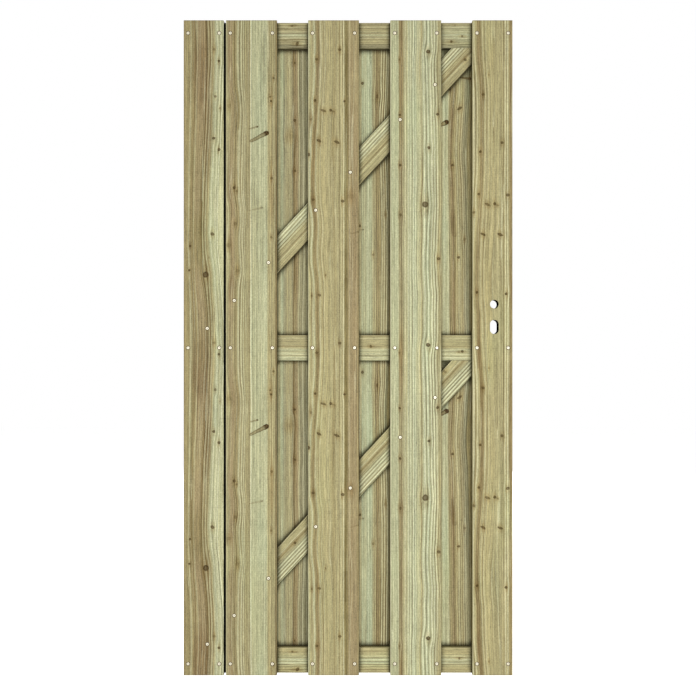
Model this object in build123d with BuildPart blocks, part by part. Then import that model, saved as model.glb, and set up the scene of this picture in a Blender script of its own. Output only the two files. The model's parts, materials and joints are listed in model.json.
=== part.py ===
from build123d import *
import math
import os

# A boarded garden gate leaf: upright boards on both faces of a middle layer of battens.
# The front boards leave gaps that the rear boards close, and the middle layer holds three
# rails, a lock stile between them on the lock side, and one brace in each half.
#
# X runs across the leaf from the hinge side to the lock side, Y from the front face to the
# rear face, and Z up. The origin is the seat of the lower hinge: on the rear face of the
# rear board beside the hinge edge, on that board's centre line, level with the bottom rail.
# All sizes are in millimetres.

# Leaf and boards
leaf_height = 1800.0
board_width = 140.0
hinge_board_width = 110.0
lock_board_width = 110.0
board_gap = 86.0
joint_gap = 6.0
front_thickness = 16.0
rear_thickness = 16.0
board_arris = 2.0
full_board_count = 3

# Middle layer: rails, stiles and braces are cut from the same planed batten
batten_width = 70.0
batten_thickness = 16.0
batten_arris = 1.5

# Lock holes, bored through the lock board and the upper lock stile: a key cylinder's slot just
# clear of the middle rail, and the handle's round spindle hole above it
lock_backset = 50.0
slot_rail_clearance = 3.0
cylinder_slot_width = 24.0
cylinder_slot_height = 39.0
spindle_rise = 62.5
spindle_hole_diameter = 24.0

# Across the leaf, measured from the hinge edge
board_pitch = board_width + board_gap
first_full_board = hinge_board_width + joint_gap
full_board_starts = [first_full_board + n * board_pitch for n in range(full_board_count)]
lock_board_start = full_board_starts[-1] + board_pitch
leaf_width = lock_board_start + lock_board_width
stile_start = leaf_width - batten_width
lock_centre = leaf_width - lock_backset

# Each rear board is centred on a gap of the front, and one more stands at the hinge edge,
# where it closes the joint between the first two front boards
gap_centre = full_board_starts[0] + board_width + board_gap / 2
rear_board_centres = [gap_centre + n * board_pitch for n in range(-1, full_board_count)]
hinge_seat = rear_board_centres[0]

# Up the leaf, measured from its lower edge
rail_middles = {
    "bottom_rail": batten_width / 2,
    "middle_rail": leaf_height / 2,
    "top_rail": leaf_height - batten_width / 2,
}
half_bays = {
    "lower": (rail_middles["bottom_rail"], rail_middles["middle_rail"]),
    "upper": (rail_middles["middle_rail"], rail_middles["top_rail"]),
}
middle_rail_top = rail_middles["middle_rail"] + batten_width / 2
slot_middle = middle_rail_top + slot_rail_clearance + cylinder_slot_height / 2
spindle_height = slot_middle + spindle_rise

# From the rear face of the leaf to the front
rear_face = 0.0
batten_back = rear_face - rear_thickness
batten_front = batten_back - batten_thickness
leaf_front = batten_front - front_thickness

# The origin of the model in the leaf's own measures
origin_across = hinge_seat
origin_up = rail_middles["bottom_rail"]


def upright_plane(depth):
    """A plane at this depth, drawn on in the leaf's own measures, that extrudes to the front."""
    return Plane(origin=(-origin_across, depth, -origin_up), x_dir=(1, 0, 0), z_dir=(0, -1, 0))


def ease_long_edges(direction, radius):
    """Rounds the four long arrises of the piece being built, as planed timber has them."""
    fillet(edges().filter_by(direction), radius=radius)


def lock_holes(back):
    """The outlines of the cylinder slot and the round spindle hole above it, at this depth."""
    with BuildSketch(upright_plane(back)) as holes:
        with Locations((lock_centre, slot_middle)):
            SlotOverall(cylinder_slot_height, cylinder_slot_width, rotation=90)
        with Locations((lock_centre, spindle_height)):
            Circle(spindle_hole_diameter / 2)
    return holes.sketch


def make_board(start, width, back, thickness, bored=False):
    """An upright board, cut square at both ends, from its edge nearest the hinges."""
    with BuildPart() as board:
        with BuildSketch(upright_plane(back)):
            with Locations((start + width / 2, leaf_height / 2)):
                Rectangle(width, leaf_height)
        extrude(amount=thickness)
        ease_long_edges(Axis.Z, board_arris)
        if bored:
            extrude(lock_holes(back), amount=thickness, mode=Mode.SUBTRACT)
    return board


def make_rail(middle):
    """A rail across the whole leaf."""
    with BuildPart() as rail:
        with BuildSketch(upright_plane(batten_back)):
            with Locations((leaf_width / 2, middle)):
                Rectangle(leaf_width, batten_width)
        extrude(amount=batten_thickness)
        ease_long_edges(Axis.X, batten_arris)
    return rail


def make_lock_stile(low, high, bored):
    """A stile on the lock side, fitted between two rails."""
    with BuildPart() as stile:
        with BuildSketch(upright_plane(batten_back)):
            with Locations((stile_start + batten_width / 2, (low + high) / 2)):
                Rectangle(batten_width, high - low)
        extrude(amount=batten_thickness)
        ease_long_edges(Axis.Z, batten_arris)
        if bored:
            extrude(lock_holes(batten_back), amount=batten_thickness, mode=Mode.SUBTRACT)
    return stile


def make_brace(low, high):
    """A brace that rises from the hinge edge to the stile, its ends cut flat to the rails.

    Its upper edge starts where the lower rail meets the hinge edge, and its lower edge ends
    where the upper rail meets the lock stile. That sets its slope.
    """
    rise = high - low
    diagonal = math.hypot(stile_start, rise)
    slope = math.atan2(rise, stile_start) + math.asin(batten_width / diagonal)
    end_cut = batten_width / math.sin(slope)
    with BuildPart() as brace:
        with BuildSketch(upright_plane(batten_back)):
            with BuildLine():
                Polyline(
                    (0, low),
                    (end_cut, low),
                    (stile_start, high),
                    (stile_start - end_cut, high),
                    close=True,
                )
            make_face()
        extrude(amount=batten_thickness)
        along = Axis((0, 0, 0), (math.cos(slope), 0, math.sin(slope)))
        ease_long_edges(along, batten_arris)
    return brace


def export_piece(name, piece):
    """Writes one finished piece under its name."""
    piece.part.label = name
    export_step(piece.part, f"parts/{name}.step")


os.makedirs("parts", exist_ok=True)

# Front boards: a narrow one on the hinge side, close against the first full board, then the
# full boards with their gaps, and the bored lock board
export_piece("front_board_hinge", make_board(0, hinge_board_width, batten_front, front_thickness))
for number, start in enumerate(full_board_starts, start=1):
    board = make_board(start, board_width, batten_front, front_thickness)
    export_piece(f"front_board_{number}", board)
lock_board = make_board(
    lock_board_start, lock_board_width, batten_front, front_thickness, bored=True
)
export_piece("front_board_lock", lock_board)

# Rear boards
for number, centre in enumerate(rear_board_centres, start=1):
    board = make_board(centre - board_width / 2, board_width, rear_face, rear_thickness)
    export_piece(f"rear_board_{number}", board)

# Middle layer
for name, middle in rail_middles.items():
    export_piece(name, make_rail(middle))
for half, (rail_below, rail_above) in half_bays.items():
    low = rail_below + batten_width / 2
    high = rail_above - batten_width / 2
    export_piece(f"{half}_lock_stile", make_lock_stile(low, high, bored=half == "upper"))
    export_piece(f"{half}_brace", make_brace(low, high))
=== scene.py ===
import json
import math

import bpy
from mathutils import Euler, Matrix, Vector


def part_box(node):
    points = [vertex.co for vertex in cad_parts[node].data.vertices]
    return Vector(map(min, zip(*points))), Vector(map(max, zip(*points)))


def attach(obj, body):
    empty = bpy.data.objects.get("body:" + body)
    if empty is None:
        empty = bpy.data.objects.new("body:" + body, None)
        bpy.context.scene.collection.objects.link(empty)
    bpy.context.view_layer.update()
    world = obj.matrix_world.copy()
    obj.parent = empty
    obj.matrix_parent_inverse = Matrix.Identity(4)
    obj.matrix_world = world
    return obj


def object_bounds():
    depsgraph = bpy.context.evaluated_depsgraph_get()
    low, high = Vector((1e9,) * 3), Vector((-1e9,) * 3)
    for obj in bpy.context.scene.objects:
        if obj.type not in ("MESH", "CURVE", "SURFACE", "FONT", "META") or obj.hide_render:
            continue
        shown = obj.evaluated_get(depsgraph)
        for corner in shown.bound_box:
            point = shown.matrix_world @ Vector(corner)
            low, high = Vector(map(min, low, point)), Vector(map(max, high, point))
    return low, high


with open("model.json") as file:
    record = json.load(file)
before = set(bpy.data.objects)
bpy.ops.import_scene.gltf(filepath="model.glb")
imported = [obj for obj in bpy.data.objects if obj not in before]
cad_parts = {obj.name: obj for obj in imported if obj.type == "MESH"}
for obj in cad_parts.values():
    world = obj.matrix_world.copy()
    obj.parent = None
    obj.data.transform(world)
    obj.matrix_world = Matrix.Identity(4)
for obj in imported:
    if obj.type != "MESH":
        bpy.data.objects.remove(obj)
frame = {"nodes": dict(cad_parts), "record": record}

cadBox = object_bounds()
nodes = frame["nodes"]
print("frame loaded:", len(nodes), "pieces of timber")

mm = 0.001

# Tones of the treated pine, as display colours
tones = {
    "umber": (112, 92, 58),
    "russet": (136, 114, 78),
    "olive": (134, 121, 78),
    "brown": (147, 130, 90),
    "rosy": (163, 146, 108),
    "tan": (162, 149, 106),
    "amber": (168, 150, 104),
    "oat": (172, 163, 121),
    "straw": (180, 169, 123),
    "sand": (187, 178, 131),
    "sap": (186, 186, 147),
    "mint": (179, 185, 149),
    "cream": (197, 195, 152),
    "grey": (154, 149, 116),
    "slate": (133, 130, 98),
}


def linear(red, green, blue):
    # display colour to the linear colour that the shaders take
    return [((c / 255 + 0.055) / 1.055) ** 2.4 for c in (red, green, blue)] + [1.0]


# Small helpers for building shader trees

def plug(tree, value, socket):
    if isinstance(value, bpy.types.NodeSocket):
        tree.links.new(value, socket)
    elif value is not None:
        socket.default_value = value


def addNode(tree, kind, inputs=None, **settings):
    node = tree.nodes.new("ShaderNode" + kind)
    for key, value in settings.items():
        setattr(node, key, value)
    for key, value in (inputs or {}).items():
        plug(tree, value, node.inputs[key])
    return node


def calc(tree, operation, *values, clamp=False):
    node = addNode(tree, "Math", dict(enumerate(values)), operation=operation, use_clamp=clamp)
    return node.outputs[0]


def times(tree, first, second):
    return calc(tree, "MULTIPLY", first, second)


def minus(tree, first, second):
    return calc(tree, "SUBTRACT", first, second)


def timesPlus(tree, first, second, third):
    return calc(tree, "MULTIPLY_ADD", first, second, third)


def vectorCalc(tree, operation, first, second):
    node = addNode(tree, "VectorMath", {0: first, 1: second}, operation=operation)
    return node.outputs["Value" if operation == "DOT_PRODUCT" else "Vector"]


def axes(tree, vector):
    return addNode(tree, "SeparateXYZ", {"Vector": vector}).outputs


def remap(tree, value, low, high, toLow=0.0, toHigh=1.0, smooth=True):
    kind = "SMOOTHSTEP" if smooth else "LINEAR"
    inputs = {"Value": value, "From Min": low, "From Max": high, "To Min": toLow, "To Max": toHigh}
    return addNode(tree, "MapRange", inputs, interpolation_type=kind).outputs["Result"]


def noise(tree, vector, scale, detail=2.0, roughness=0.5, seed=0.0, output="Fac"):
    inputs = {"Vector": vector, "Scale": scale, "Detail": detail, "Roughness": roughness, "W": seed}
    return addNode(tree, "TexNoise", inputs, noise_dimensions="4D").outputs[output]


def mixColour(tree, factor, first, second, blend="MIX"):
    inputs = {0: factor, 6: first, 7: second}  # the sockets that the colour mix reads
    return addNode(tree, "Mix", inputs, data_type="RGBA", blend_type=blend, clamp_factor=True).outputs[2]


def tint(tree, factor, colour, shade):
    # the colour multiplied by a shade, as far as the factor says
    return mixColour(tree, factor, colour, mixColour(tree, 1.0, colour, (*shade, 1.0), "MULTIPLY"))


def curve(tree, value, points, handle):
    # a curve drawn through the points, each (0 to 1, 0 to 1)
    node = addNode(tree, "FloatCurve", {"Value": value})
    drawn = node.mapping.curves[0].points
    for index, spot in enumerate(points):
        point = drawn[index] if index < 2 else drawn.new(*spot)
        point.location = spot
        point.handle_type = handle
    node.mapping.update()
    return node.outputs["Value"]


# The sockets of the groups that aren't plain numbers
socketKinds = {
    "Vector": "Vector", "Rough Vector": "Vector", "Place": "Vector", "Reach": "Vector",
    "Color": "Color", "Tone": "Color", "Body": "Color",
}


def newGroup(name, inputs, outputs):
    group = bpy.data.node_groups.new(name, "ShaderNodeTree")
    for side, labels in (("INPUT", inputs), ("OUTPUT", outputs)):
        for label in labels:
            kind = "NodeSocket" + socketKinds.get(label, "Float")
            group.interface.new_socket(label, in_out=side, socket_type=kind)
    return group, group.nodes.new("NodeGroupInput").outputs, group.nodes.new("NodeGroupOutput").inputs


def useGroup(tree, group, inputs):
    return addNode(tree, "Group", inputs, node_tree=group).outputs


def newMaterial(name):
    material = bpy.data.materials.new(name)
    material.use_nodes = True
    return material, material.node_tree, material.node_tree.nodes["Principled BSDF"].inputs


# Growth rings: carries a point along its ring to the piece's front face, so that lines run
# straight on the faces and edges and bend round the pith on the sawn ends

ringLook = {
    "drift": (9.0, 3.0, 1.7),  # how quickly the lines wander across, inward and along
    "raggedScale": 210.0,
    "raggedReach": (0.0035, 0.0, 0.0045),
}


def buildRingGroup():
    inputs = ["Vector", "Pith Across", "Pith Depth", "Wander", "Seed"]
    group, given, out = newGroup("growthRings", inputs, ["Across", "Rough Vector"])
    place, seed = given["Vector"], given["Seed"]
    parts = axes(group, place)
    side = minus(group, parts["X"], given["Pith Across"])
    depth = minus(group, parts["Y"], given["Pith Depth"])
    ring = timesPlus(group, depth, depth, times(group, side, side))
    face = times(group, given["Pith Depth"], given["Pith Depth"])
    ring = calc(group, "MAXIMUM", minus(group, ring, face), 0.0)
    reach = times(group, calc(group, "SQRT", ring), calc(group, "SIGN", side))
    carried = calc(group, "ADD", reach, given["Pith Across"])
    drift = noise(group, vectorCalc(group, "MULTIPLY", place, ringLook["drift"]), 1.0, 3.0, 0.5, seed)
    drift = times(group, minus(group, drift, 0.5), given["Wander"])
    plug(group, timesPlus(group, drift, 2.0, carried), out["Across"])
    # a slightly uneven copy of the place, which gives the knots ragged outlines
    ragged = noise(group, place, ringLook["raggedScale"], seed=seed, output="Color")
    ragged = vectorCalc(group, "SUBTRACT", ragged, (0.5, 0.5, 0.5))
    ragged = vectorCalc(group, "MULTIPLY", ragged, ringLook["raggedReach"])
    plug(group, vectorCalc(group, "ADD", place, ragged), out["Rough Vector"])
    return group


def offPlace(group, given):
    # how far across and along a point lies from the place, or from its nearest repeat
    away = axes(group, vectorCalc(group, "SUBTRACT", given["Rough Vector"], given["Place"]))
    half = times(group, given["Spacing"], 0.5)
    return away["X"], calc(group, "WRAP", away["Z"], half, times(group, half, -1.0))


# One knot: a dark core, a warm halo drawn out along the grain, and lines that part round it

knotLook = {  # in knot radii
    "core": (0.7, 1.1),
    "centre": (0.25, 0.8),
    "centreDepth": 0.8,
    "haloDraw": 0.36,
    "halo": (0.4, 1.9),
    "partWide": 0.22,
    "partTall": 0.06,
    "part": -0.45,
}


def buildKnotGroup():
    inputs = ["Rough Vector", "Across", "Core", "Halo", "Place", "Radius", "Stretch", "Lean", "Depth",
              "Spacing"]
    group, given, out = newGroup("pineKnot", inputs, ["Across", "Core", "Halo"])
    side, along = offPlace(group, given)
    leaning = timesPlus(group, side, given["Lean"], along)
    wide = calc(group, "DIVIDE", side, times(group, given["Radius"], given["Stretch"]))
    tall = calc(group, "DIVIDE", leaning, given["Radius"])
    flat = times(group, wide, wide)
    off = calc(group, "SQRT", timesPlus(group, tall, tall, flat))
    core = times(group, remap(group, off, *knotLook["core"], 1.0, 0.0), given["Depth"])
    core = times(group, core, remap(group, off, *knotLook["centre"], knotLook["centreDepth"], 1.0))
    plug(group, calc(group, "MAXIMUM", core, given["Core"]), out["Core"])
    drawn = times(group, tall, knotLook["haloDraw"])
    glow = calc(group, "SQRT", timesPlus(group, drawn, drawn, flat))
    halo = remap(group, glow, *knotLook["halo"], 1.0, 0.0)
    plug(group, calc(group, "MAXIMUM", halo, given["Halo"]), out["Halo"])
    # the lines part round the knot
    near = calc(group, "DIVIDE", side, given["Radius"])
    widePart = times(group, times(group, near, near), knotLook["partWide"])
    tallPart = times(group, times(group, tall, tall), knotLook["partTall"])
    spread = calc(group, "EXPONENT", times(group, calc(group, "ADD", widePart, tallPart), -1.0))
    push = times(group, times(group, side, spread), knotLook["part"])
    plug(group, calc(group, "ADD", given["Across"], push), out["Across"])
    return group


# One side branch cut lengthwise: a wedge with dark rims that thickens to a dark end

branchLook = {  # edges in half thicknesses, the tip in shares of the length
    "taper": 0.6,
    "edge": (0.8, 1.15),
    "inside": (0.4, 0.8),
    "tip": (0.78, 0.95),
    "rimDepth": 0.4,
    "bodyDepth": 0.25,
    "tipDepth": 0.6,
}


def buildBranchGroup():
    inputs = ["Rough Vector", "Core", "Halo", "Place", "Reach", "Thickness", "Depth", "Spacing"]
    group, given, out = newGroup("sideBranch", inputs, ["Core", "Halo"])
    side, along = offPlace(group, given)
    reach = given["Reach"]
    flat = addNode(group, "CombineXYZ", {"X": side, "Z": along}).outputs[0]
    square = vectorCalc(group, "DOT_PRODUCT", reach, reach)
    share = calc(group, "DIVIDE", vectorCalc(group, "DOT_PRODUCT", flat, reach), square, clamp=True)
    nearest = addNode(group, "VectorMath", {0: reach, "Scale": share}, operation="SCALE").outputs[0]
    beside = vectorCalc(group, "SUBTRACT", flat, nearest)
    gap = addNode(group, "VectorMath", {0: beside}, operation="LENGTH").outputs["Value"]
    taper = remap(group, share, 0.0, 1.0, branchLook["taper"], 1.0, smooth=False)
    off = calc(group, "DIVIDE", gap, times(group, given["Thickness"], taper))
    body = remap(group, off, *branchLook["edge"], 1.0, 0.0)
    rim = minus(group, body, remap(group, off, *branchLook["inside"], 1.0, 0.0))
    tip = times(group, body, remap(group, share, *branchLook["tip"]))
    dark = timesPlus(group, rim, branchLook["rimDepth"], times(group, body, branchLook["bodyDepth"]))
    dark = times(group, timesPlus(group, tip, branchLook["tipDepth"], dark), given["Depth"])
    plug(group, calc(group, "MAXIMUM", dark, given["Core"]), out["Core"])
    warm = times(group, body, given["Depth"])
    plug(group, calc(group, "MAXIMUM", warm, given["Halo"]), out["Halo"])
    return group


# Planed pine: growth lines, fibres, patches and knots over the piece's own tones

pineLook = {
    "ringCount": (55.0, 0.02, 2.0, 0.6),  # scale, stretch along, detail, roughness
    "ringStrength": (95.0, 0.03, 1.0, 0.5),
    "lineFade": (30.0, 0.12, 2.0, 0.5),
    "streaks": (230.0, 0.012, 3.0, 0.7),
    "bodyPatches": (12.0, 0.3, 2.0, 0.5),
    "latewood": (0.3, 0.225, 0.15),
    "earlywood": (222, 222, 186),
    "green": (0.84, 1.0, 0.92),
    "arrisHighlight": (212, 207, 168),
    "sawn": (0.72, 0.72, 0.66),
    "warm": (0.7, 0.58, 0.42),
    "knotPale": (98, 78, 46),
    "knotDark": (42, 32, 16),
    "ripplePitch": 1150.0,
}


def buildPineGroup():
    inputs = ["Vector", "Across", "Tone", "Body", "Core", "Halo", "Line Spacing", "Line Depth",
              "Drawn Lines", "Arris", "Length", "Thickness", "Seed"]
    group, given, out = newGroup("planedPine", inputs, ["Color", "Roughness", "Height"])
    place, across, seed = given["Vector"], given["Across"], given["Seed"]
    parts = axes(group, place)
    along = parts["Z"]

    def ringNoise(name):
        # noise that follows the rings and changes slowly along the piece
        scale, stretch, detail, roughness = pineLook[name]
        pair = addNode(group, "CombineXYZ", {"X": across, "Z": times(group, along, stretch)})
        return noise(group, pair.outputs[0], scale, detail, roughness, seed)

    def placeNoise(stretch, scale, detail, roughness):
        return noise(group, vectorCalc(group, "MULTIPLY", place, stretch), scale, detail, roughness, seed)

    # uneven ring widths, then a profile that darkens slowly, stops sharply and starts pale
    count = calc(group, "DIVIDE", across, given["Line Spacing"])
    count = timesPlus(group, ringNoise("ringCount"), 6.0, count)
    count = timesPlus(group, placeNoise((7.0, 7.0, 1.9), 1.0, 2.0, 0.5), 1.6, count)
    ring = calc(group, "FRACT", count)
    late = times(group, remap(group, ring, 0.6, 0.84), remap(group, ring, 0.92, 1.0, 1.0, 0.0))
    early = remap(group, ring, 0.0, 0.3, 1.0, 0.0)
    strength = remap(group, ringNoise("ringStrength"), 0.36, 0.64, 0.12, 1.0)
    strength = times(group, strength, given["Line Depth"])
    # the piece's own drawn lines come and go along it
    fading = remap(group, ringNoise("lineFade"), 0.35, 0.6, 0.65, 1.0)
    drawn = times(group, minus(group, 0.5, given["Drawn Lines"]), 2.0)
    dark = times(group, calc(group, "MAXIMUM", drawn, 0.0), fading)
    pale = calc(group, "MAXIMUM", times(group, drawn, -1.0), times(group, early, strength))
    late = calc(group, "MAXIMUM", times(group, late, strength), dark)

    # fine fibres, thin streaks and broad patches
    fibre = placeNoise((1.0, 1.0, 0.04), 520.0, 5.0, 0.7)
    fleck = placeNoise((1.0, 1.0, 0.14), 250.0, 2.0, 0.7)
    speckle = placeNoise((1.0, 1.0, 0.4), 480.0, 2.0, 0.6)
    patch = placeNoise((9.0, 9.0, 2.4), 1.0, 3.0, 0.55)
    streak = ringNoise("streaks")
    ripple = timesPlus(group, fleck, 5.0, times(group, along, pineLook["ripplePitch"]))
    ripple = calc(group, "SINE", ripple)

    fade = remap(group, ringNoise("bodyPatches"), 0.42, 0.66, 0.0, 0.35)
    colour = mixColour(group, fade, given["Tone"], given["Body"])
    colour = tint(group, late, colour, pineLook["latewood"])
    colour = mixColour(group, pale, colour, linear(*pineLook["earlywood"]))
    level = 1.0
    for texture, amount in ((streak, 1.6), (fibre, 0.95), (fleck, 0.9), (speckle, 1.1), (patch, 0.25)):
        level = timesPlus(group, minus(group, texture, 0.5), amount, level)
    level = timesPlus(group, times(group, ripple, patch), 0.05, level)
    grey = addNode(group, "CombineXYZ", {"X": level, "Y": level, "Z": level}).outputs[0]
    colour = mixColour(group, 1.0, colour, grey, "MULTIPLY")
    colour = tint(group, remap(group, patch, 0.5, 0.72, 0.0, 0.3), colour, pineLook["green"])

    # painted highlight: the arris along the first edge paler, as if lit from that side, and sawn ends a
    # little darker
    arris = times(group, given["Arris"], remap(group, parts["X"], 0.0008, 0.0036, 1.0, 0.0))
    face = calc(group, "MINIMUM", parts["Y"], minus(group, given["Thickness"], parts["Y"]))
    arris = times(group, arris, remap(group, face, 0.0016, 0.0032, 1.0, 0.0))
    colour = mixColour(group, arris, colour, linear(*pineLook["arrisHighlight"]))
    end = calc(group, "MINIMUM", along, minus(group, given["Length"], along))
    colour = tint(group, remap(group, end, 0.0005, 0.004, 0.8, 0.0), colour, pineLook["sawn"])

    # knots: warm halo, dark core, mottled
    colour = tint(group, times(group, given["Halo"], 0.5), colour, pineLook["warm"])
    pale, dark = linear(*pineLook["knotPale"]), linear(*pineLook["knotDark"])
    knotTone = mixColour(group, remap(group, speckle, 0.38, 0.62), pale, dark)
    colour = mixColour(group, times(group, given["Core"], 0.95), colour, knotTone)
    plug(group, colour, out["Color"])

    rough = timesPlus(group, fibre, 0.16, 0.6)
    plug(group, timesPlus(group, given["Core"], -0.14, rough), out["Roughness"])

    height = timesPlus(group, late, 0.2, times(group, fibre, 0.5))
    height = timesPlus(group, streak, 0.35, height)
    plug(group, timesPlus(group, given["Core"], 0.3, height), out["Height"])
    return group


# One soft-edged spot of another tone, longer than it is wide

def buildSpotGroup():
    inputs = ["Rough Vector", "Color", "Place", "Half Width", "Half Height", "Tone", "Strength", "Spacing"]
    group, given, out = newGroup("toneSpot", inputs, ["Color"])
    side, along = offPlace(group, given)
    wide = calc(group, "DIVIDE", side, given["Half Width"])
    tall = calc(group, "DIVIDE", along, given["Half Height"])
    off = calc(group, "SQRT", timesPlus(group, tall, tall, times(group, wide, wide)))
    mask = times(group, remap(group, off, 0.5, 1.15, 1.0, 0.0), given["Strength"])
    plug(group, mixColour(group, mask, given["Color"], given["Tone"]), out["Color"])
    return group


# The lock's two holes are narrow for the timber's thickness, so their walls stay in deep shade, and that
# shade is painted onto them

holeLook = {
    "wall": (0.0002, 0.0006),  # metres past the hole's own outline
    "mouth": (0.0003, 0.001),  # metres in from the face
    "tone": (16, 12, 8),
}


def buildHoleGroup():
    inputs = ["Vector", "Color", "Place", "Radius", "Half Straight"]
    group, given, out = newGroup("holeShade", inputs, ["Color"])
    away = axes(group, vectorCalc(group, "SUBTRACT", given["Vector"], given["Place"]))
    past = minus(group, calc(group, "ABSOLUTE", away["Z"]), given["Half Straight"])
    past = calc(group, "MAXIMUM", past, 0.0)
    square = timesPlus(group, past, past, times(group, away["X"], away["X"]))
    beyond = minus(group, calc(group, "SQRT", square), given["Radius"])
    wall = remap(group, beyond, *holeLook["wall"], 1.0, 0.0)
    mask = times(group, wall, remap(group, away["Y"], *holeLook["mouth"]))
    plug(group, mixColour(group, mask, given["Color"], linear(*holeLook["tone"])), out["Color"])
    return group


# The joint between the first two boards is so narrow that it stays almost black inside, and that shade is
# painted into the colour of the timber within it

jointLook = {  # metres in from the front face
    "soft": 0.0012,
    "mouth": (0.001, 0.004),
    "widens": (0.014, 0.03),
    "spread": 0.008,
    "stops": (0.0325, 0.0335),
    "tone": (14, 12, 9),
}


def buildJointGroup():
    group, given, out = newGroup("jointShade", ["Vector", "Color", "Start", "End", "Front"], ["Color"])
    parts = axes(group, given["Vector"])
    depth = minus(group, parts["Y"], given["Front"])
    # what shows through the joint is wider further back
    spread = remap(group, depth, *jointLook["widens"], 0.0, jointLook["spread"])
    edges = []
    for inside in (minus(group, parts["X"], given["Start"]), minus(group, given["End"], parts["X"])):
        edges.append(remap(group, calc(group, "ADD", inside, spread), -jointLook["soft"], 0.0))
    # and the painted shade stops at the front of the rear boards, so their backs keep their own colour
    stop = remap(group, depth, *jointLook["stops"], 1.0, 0.0)
    deep = times(group, remap(group, depth, *jointLook["mouth"]), stop)
    shade = times(group, times(group, *edges), deep)
    plug(group, mixColour(group, shade, given["Color"], linear(*jointLook["tone"])), out["Color"])
    return group


ringGroup = buildRingGroup()
knotGroup = buildKnotGroup()
branchGroup = buildBranchGroup()
pineGroup = buildPineGroup()
jointGroup = buildJointGroup()
spotGroup = buildSpotGroup()
holeGroup = buildHoleGroup()
joint = {
    "Start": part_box("front_board_hinge")[1].x,
    "End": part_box("front_board_1")[0].x,
    "Front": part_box("front_board_1")[0].y,
}

# Where the lock's holes are: the spindle's from the record, the cylinder's below it
spindle = [mount for mount in frame["record"]["mounts"] if mount["name"] == "spindle_hole"][0]
cylinderDrop = 62.5 * mm
cylinderStraight = 15 * mm
holeAcross, holeUp = spindle["pos_m"][0], spindle["pos_m"][2]
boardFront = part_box("front_board_lock")[0].y
lockHoles = [
    {"Place": (holeAcross, boardFront, holeUp), "Half Straight": 0.0},
    {"Place": (holeAcross, boardFront, holeUp - cylinderDrop), "Half Straight": cylinderStraight / 2},
]

wood = {
    "thickness": 16 * mm,
    "swingRange": 60.0,  # millimetres from one end of a bend curve's scale to the other
    "lineSpread": 1.2,  # how much wider and stronger the listed lines are drawn
    "lineGain": 1.5,
    # painted shade in the corners where the timbers meet: its reach, where it starts and ends, its depth
    # and its tone
    "paintedShadeReach": 0.02,
    "paintedShadeEdge": (0.53, 0.92),
    "paintedShadeDepth": 0.96,
    "paintedShadeTone": (0.12, 0.115, 0.09),
    "sheen": 0.05,
}


def bendLines(tree, piece, across, run, length):
    # the lines swing sideways as they run down the piece
    straight, bent, path = piece["bend"]
    run = calc(tree, "DIVIDE", minus(tree, length, run), piece["repeat"] * mm)
    path = [(spot, 0.5 + shift / wood["swingRange"]) for spot, shift in path]
    swing = curve(tree, calc(tree, "FRACT", run), path, "AUTO")
    swing = times(tree, minus(tree, swing, 0.5), wood["swingRange"] * mm)
    return minus(tree, across, times(tree, swing, remap(tree, across, straight * mm, bent * mm)))


def toneRamp(tree, piece, share):
    ramp = addNode(tree, "ValToRGB", {"Fac": share})
    stops = ramp.color_ramp.elements
    for index, (position, tone) in enumerate(piece["tones"]):
        stop = stops[index] if index < 2 else stops.new(1.0)
        stop.position = position / piece["width"]
        stop.color = linear(*tones[tone])
    return ramp.outputs["Color"]


def drawnLines(tree, piece, share):
    # one curve across the piece that dips at each dark line and rises at each pale one
    profile = [(0.0, 0.5)]
    for middle, halfWidth, strength in piece["lines"]:
        reach = halfWidth * wood["lineSpread"]
        peak = max(-1, min(1, strength * wood["lineGain"]))
        for spot, level in ((middle - reach, 0), (middle, peak), (middle + reach, 0)):
            if spot / piece["width"] > profile[-1][0]:
                profile.append((spot / piece["width"], 0.5 - 0.5 * level))
    profile.append((1.0, 0.5))
    return curve(tree, share, profile, "VECTOR")


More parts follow.
